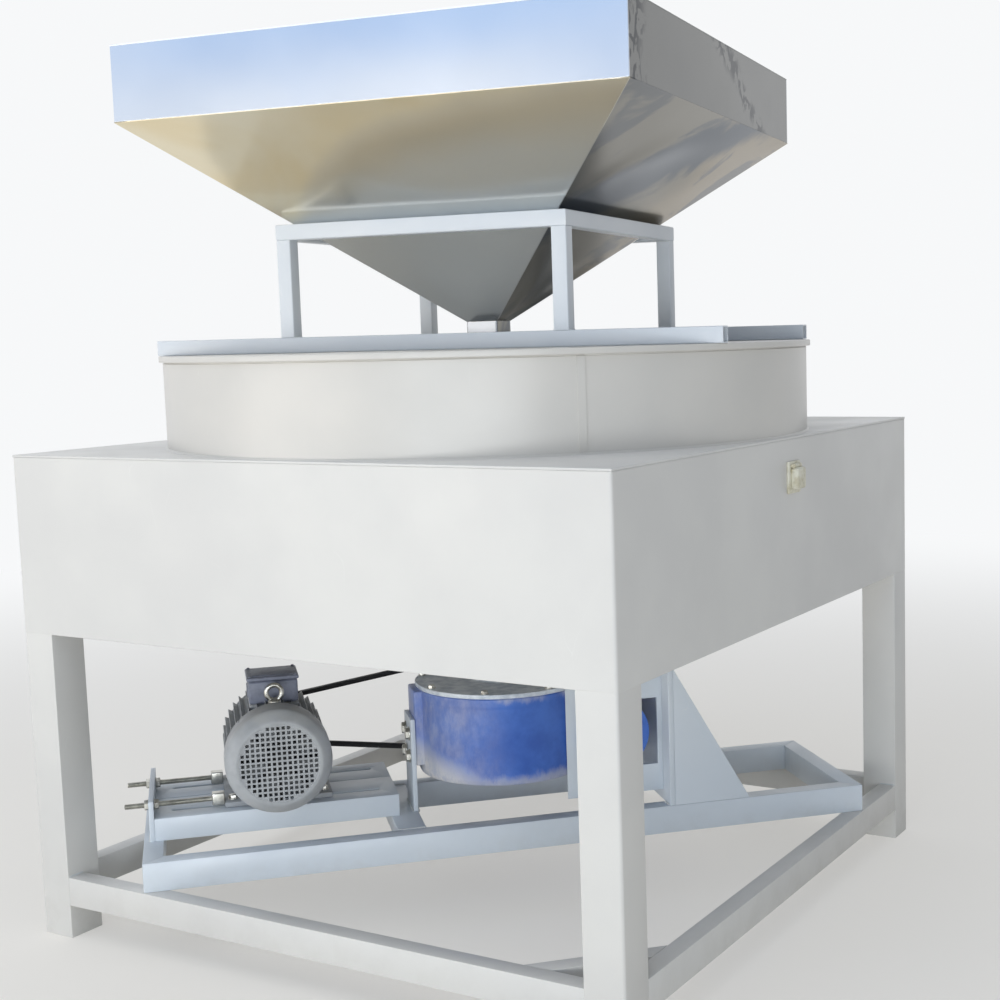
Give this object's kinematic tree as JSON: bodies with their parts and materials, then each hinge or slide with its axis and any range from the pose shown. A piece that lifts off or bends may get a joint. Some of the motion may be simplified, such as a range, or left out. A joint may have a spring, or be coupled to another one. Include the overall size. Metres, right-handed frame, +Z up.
{
  "type": "stone mill",
  "caption": "Electric stone mill: square table with a round drum of millstones, a tapering hopper on a stand above, and a belt-driven gearbox on a diagonal chassis below.",
  "frame": {"origin": "on the floor under the axis of the stones, at the middle of the table", "axes": "+Z up, the front of the table faces -Y, the side with the power inlet faces +X"},
  "size_m": [1.422, 1.42, 1.7981],
  "materials": {
    "table_paint": "semi-gloss light grey paint",
    "chassis_paint": "semi-gloss light grey paint, dusty",
    "drum_paint": "semi-gloss light grey paint",
    "stand_paint": "semi-gloss light grey paint",
    "hopper_sheet": "bright rolled sheet",
    "motor_paint": "satin grey paint",
    "terminal_plastic": "matt dark grey",
    "zinc_steel": "zinc plated",
    "shaft_steel": "turned steel",
    "cast_iron": "machined cast iron",
    "gearbox_paint": "blue paint, dusty and rubbed",
    "bare_cover": "bare machined plate",
    "bronze": "machined bronze",
    "belt_rubber": "black rubber",
    "millstone": "dressed stone",
    "inlet_plastic": "off-white",
    "fan_plastic": "black"
  },
  "bodies": {
    "frame": {"apron_back": "table_paint", "apron_front": "table_paint", "apron_left": "table_paint", "apron_right": "table_paint", "bearing_caps": "gearbox_paint", "bed_stone": "millstone", "bottom_rail_back": "table_paint", "bottom_rail_front": "table_paint", "bottom_rail_left": "table_paint", "bottom_rail_right": "table_paint", "chassis_crossbar": "chassis_paint", "chassis_ends": "chassis_paint", "chassis_rail_far": "chassis_paint", "chassis_rail_near": "chassis_paint", "corner_braces": "table_paint", "deck_beams": "table_paint", "deck_plate": "table_paint", "drive_belt": "belt_rubber", "drum_shell": "drum_paint", "flour_chute": "hopper_sheet", "gearbox_bolts": "zinc_steel", "gearbox_case": "gearbox_paint", "gearbox_cover": "bare_cover", "gussets": "chassis_paint", "hopper_body": "hopper_sheet", "hopper_collar": "hopper_sheet", "hopper_stand": "stand_paint", "left_upright": "chassis_paint", "leg_back_left": "table_paint", "leg_back_right": "table_paint", "leg_front_left": "table_paint", "leg_front_right": "table_paint", "lid": "drum_paint", "motor_rail_far": "chassis_paint", "motor_rail_near": "chassis_paint", "neck_bearing": "cast_iron", "power_inlet": "inlet_plastic", "right_upright": "chassis_paint", "rod_nuts": "zinc_steel", "saddle_cheeks": "chassis_paint", "tension_plate": "chassis_paint", "top_rails": "table_paint"},
    "mill_spindle": {"mill_spindle": "shaft_steel", "worm_wheel": "bronze", "rynd": "cast_iron", "runner_stone": "millstone", "flour_sweepers": "shaft_steel"},
    "worm": {"worm_shaft": "shaft_steel", "gearbox_pulley": "cast_iron"},
    "motor_carriage": {"motor_frame": "motor_paint", "drive_end_shield": "motor_paint", "fan_cowl": "motor_paint", "terminal_box": "terminal_plastic", "lifting_eye": "zinc_steel", "foot_bolts": "zinc_steel", "tension_rods": "zinc_steel"},
    "motor_rotor": {"motor_rotor": "shaft_steel", "cooling_fan": "fan_plastic", "motor_pulley": "cast_iron"}
  },
  "joints": [
    {"name": "stone_turn", "type": "hinge", "parent": "frame", "child": "mill_spindle", "pos_m": [0, 0, 1], "axis": [0, 0, 1], "continuous": true},
    {"name": "worm_turn", "type": "hinge", "parent": "frame", "child": "worm", "pos_m": [0.15061, 0.15061, 0.355], "axis": [-0.7071, 0.7071, 0], "continuous": true},
    {"name": "belt_tension", "type": "slide", "parent": "frame", "child": "motor_carriage", "axis": [-0.7071, -0.7071, 0], "range_m": [-0.03, 0.015], "deforming": ["drive_belt"]},
    {"name": "motor_turn", "type": "hinge", "parent": "motor_carriage", "child": "motor_rotor", "pos_m": [-0.35285, -0.35285, 0.35], "axis": [-0.7071, 0.7071, 0], "continuous": true}
  ],
  "couplings": [
    {"joint": "worm_turn", "follows": "stone_turn", "ratio": 5},
    {"joint": "motor_turn", "follows": "stone_turn", "ratio": 15.638}
  ]
}
